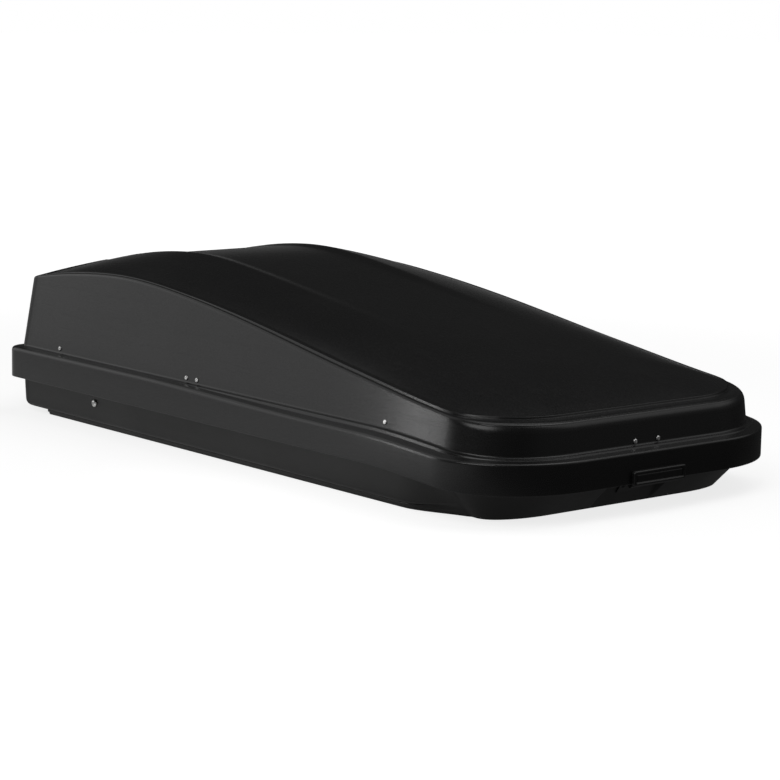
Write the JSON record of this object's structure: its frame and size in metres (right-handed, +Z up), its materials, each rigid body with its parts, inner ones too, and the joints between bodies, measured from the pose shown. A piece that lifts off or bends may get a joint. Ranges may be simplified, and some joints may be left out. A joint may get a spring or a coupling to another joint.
{
  "type": "roof box",
  "caption": "Low-nosed car roof box: deep formed lid with a wide rim, shallow tray, nose hinge, folding side stays and a rear cam lock",
  "frame": {"origin": "middle of the footprint, on the surface that the box stands on", "axes": "+Y runs from the nose to the rear, +Z is up, +X is the car's left side"},
  "size_m": [0.8, 1.6117, 0.3705],
  "materials": {
    "black_shell": "satin vacuum-formed sheet",
    "black_tray": "fine-grained formed sheet",
    "black_trim": "smooth moulded",
    "black_nylon": "moulded",
    "rivet_aluminium": "bright",
    "zinc_steel": "zinc plated",
    "lock_chrome": "polished"
  },
  "bodies": {
    "base": {"base_shell": "black_tray", "hinge_base_leaf": "zinc_steel", "hinge_pin": "zinc_steel", "hinge_screw_left": "rivet_aluminium", "hinge_screw_right": "rivet_aluminium", "floor_bar_front": "zinc_steel", "floor_bar_rear": "zinc_steel", "lock_catch": "zinc_steel", "catch_rivet": "rivet_aluminium", "stay_screw_left": "zinc_steel", "stay_spacer_left": "black_nylon", "stay_nut_left": "zinc_steel", "stay_screw_right": "zinc_steel", "stay_spacer_right": "black_nylon", "stay_nut_right": "zinc_steel"},
    "lid": {"lid_shell": "black_shell", "hinge_lid_leaf": "zinc_steel", "nose_hinge_cover": "black_trim", "nose_rivet_left": "rivet_aluminium", "nose_rivet_right": "rivet_aluminium", "lock_barrel": "lock_chrome", "lock_nut": "zinc_steel", "stay_lid_bracket_left": "black_nylon", "stay_rivet_front_left": "rivet_aluminium", "stay_rivet_rear_left": "rivet_aluminium", "stay_upper_pin_left": "zinc_steel", "lid_guide_front_left": "black_nylon", "lid_guide_rear_left": "black_nylon", "front_rivet_left": "rivet_aluminium", "rear_rivet_left": "rivet_aluminium", "stay_lid_bracket_right": "black_nylon", "stay_rivet_front_right": "rivet_aluminium", "stay_rivet_rear_right": "rivet_aluminium", "stay_upper_pin_right": "zinc_steel", "lid_guide_front_right": "black_nylon", "lid_guide_rear_right": "black_nylon", "front_rivet_right": "rivet_aluminium", "rear_rivet_right": "rivet_aluminium"},
    "lock": {"lock_plug": "lock_chrome", "lock_cam": "zinc_steel"},
    "stay_lower_left": {"stay_lower_link_left": "zinc_steel", "stay_knee_pin_left": "zinc_steel"},
    "stay_upper_left": {"stay_upper_link_left": "zinc_steel", "stay_knee_cap_left": "zinc_steel"},
    "stay_lower_right": {"stay_lower_link_right": "zinc_steel", "stay_knee_pin_right": "zinc_steel"},
    "stay_upper_right": {"stay_upper_link_right": "zinc_steel", "stay_knee_cap_right": "zinc_steel"}
  },
  "joints": [
    {"name": "lid_hinge", "type": "hinge", "parent": "base", "child": "lid", "pos_m": [0, -0.7905, 0.056], "axis": [1, 0, 0], "range_deg": [0, 28]},
    {"name": "stay_foot_left", "type": "hinge", "parent": "base", "child": "stay_lower_left", "pos_m": [0.3525, 0.4926, 0.054], "axis": [1, 0, 0], "range_deg": [-36, 0]},
    {"name": "stay_top_left", "type": "hinge", "parent": "lid", "child": "stay_upper_left", "pos_m": [0.3492, 0.14, 0.153], "axis": [1, 0, 0], "range_deg": [0, 71]},
    {"name": "stay_foot_right", "type": "hinge", "parent": "base", "child": "stay_lower_right", "pos_m": [-0.3525, 0.4926, 0.054], "axis": [1, 0, 0], "range_deg": [-36, 0]},
    {"name": "stay_top_right", "type": "hinge", "parent": "lid", "child": "stay_upper_right", "pos_m": [-0.3492, 0.14, 0.153], "axis": [1, 0, 0], "range_deg": [0, 71]},
    {"name": "lock_turn", "type": "hinge", "parent": "lid", "child": "lock", "pos_m": [0, 0.789, 0.106], "axis": [0, -1, 0], "range_deg": [0, 90]}
  ],
  "couplings": [
    {"joint": "stay_foot_left", "follows": "lid_hinge", "ratio": -1.2421},
    {"joint": "stay_top_left", "follows": "lid_hinge", "ratio": 2.4756},
    {"joint": "stay_foot_right", "follows": "lid_hinge", "ratio": -1.2421},
    {"joint": "stay_top_right", "follows": "lid_hinge", "ratio": 2.4756}
  ]
}
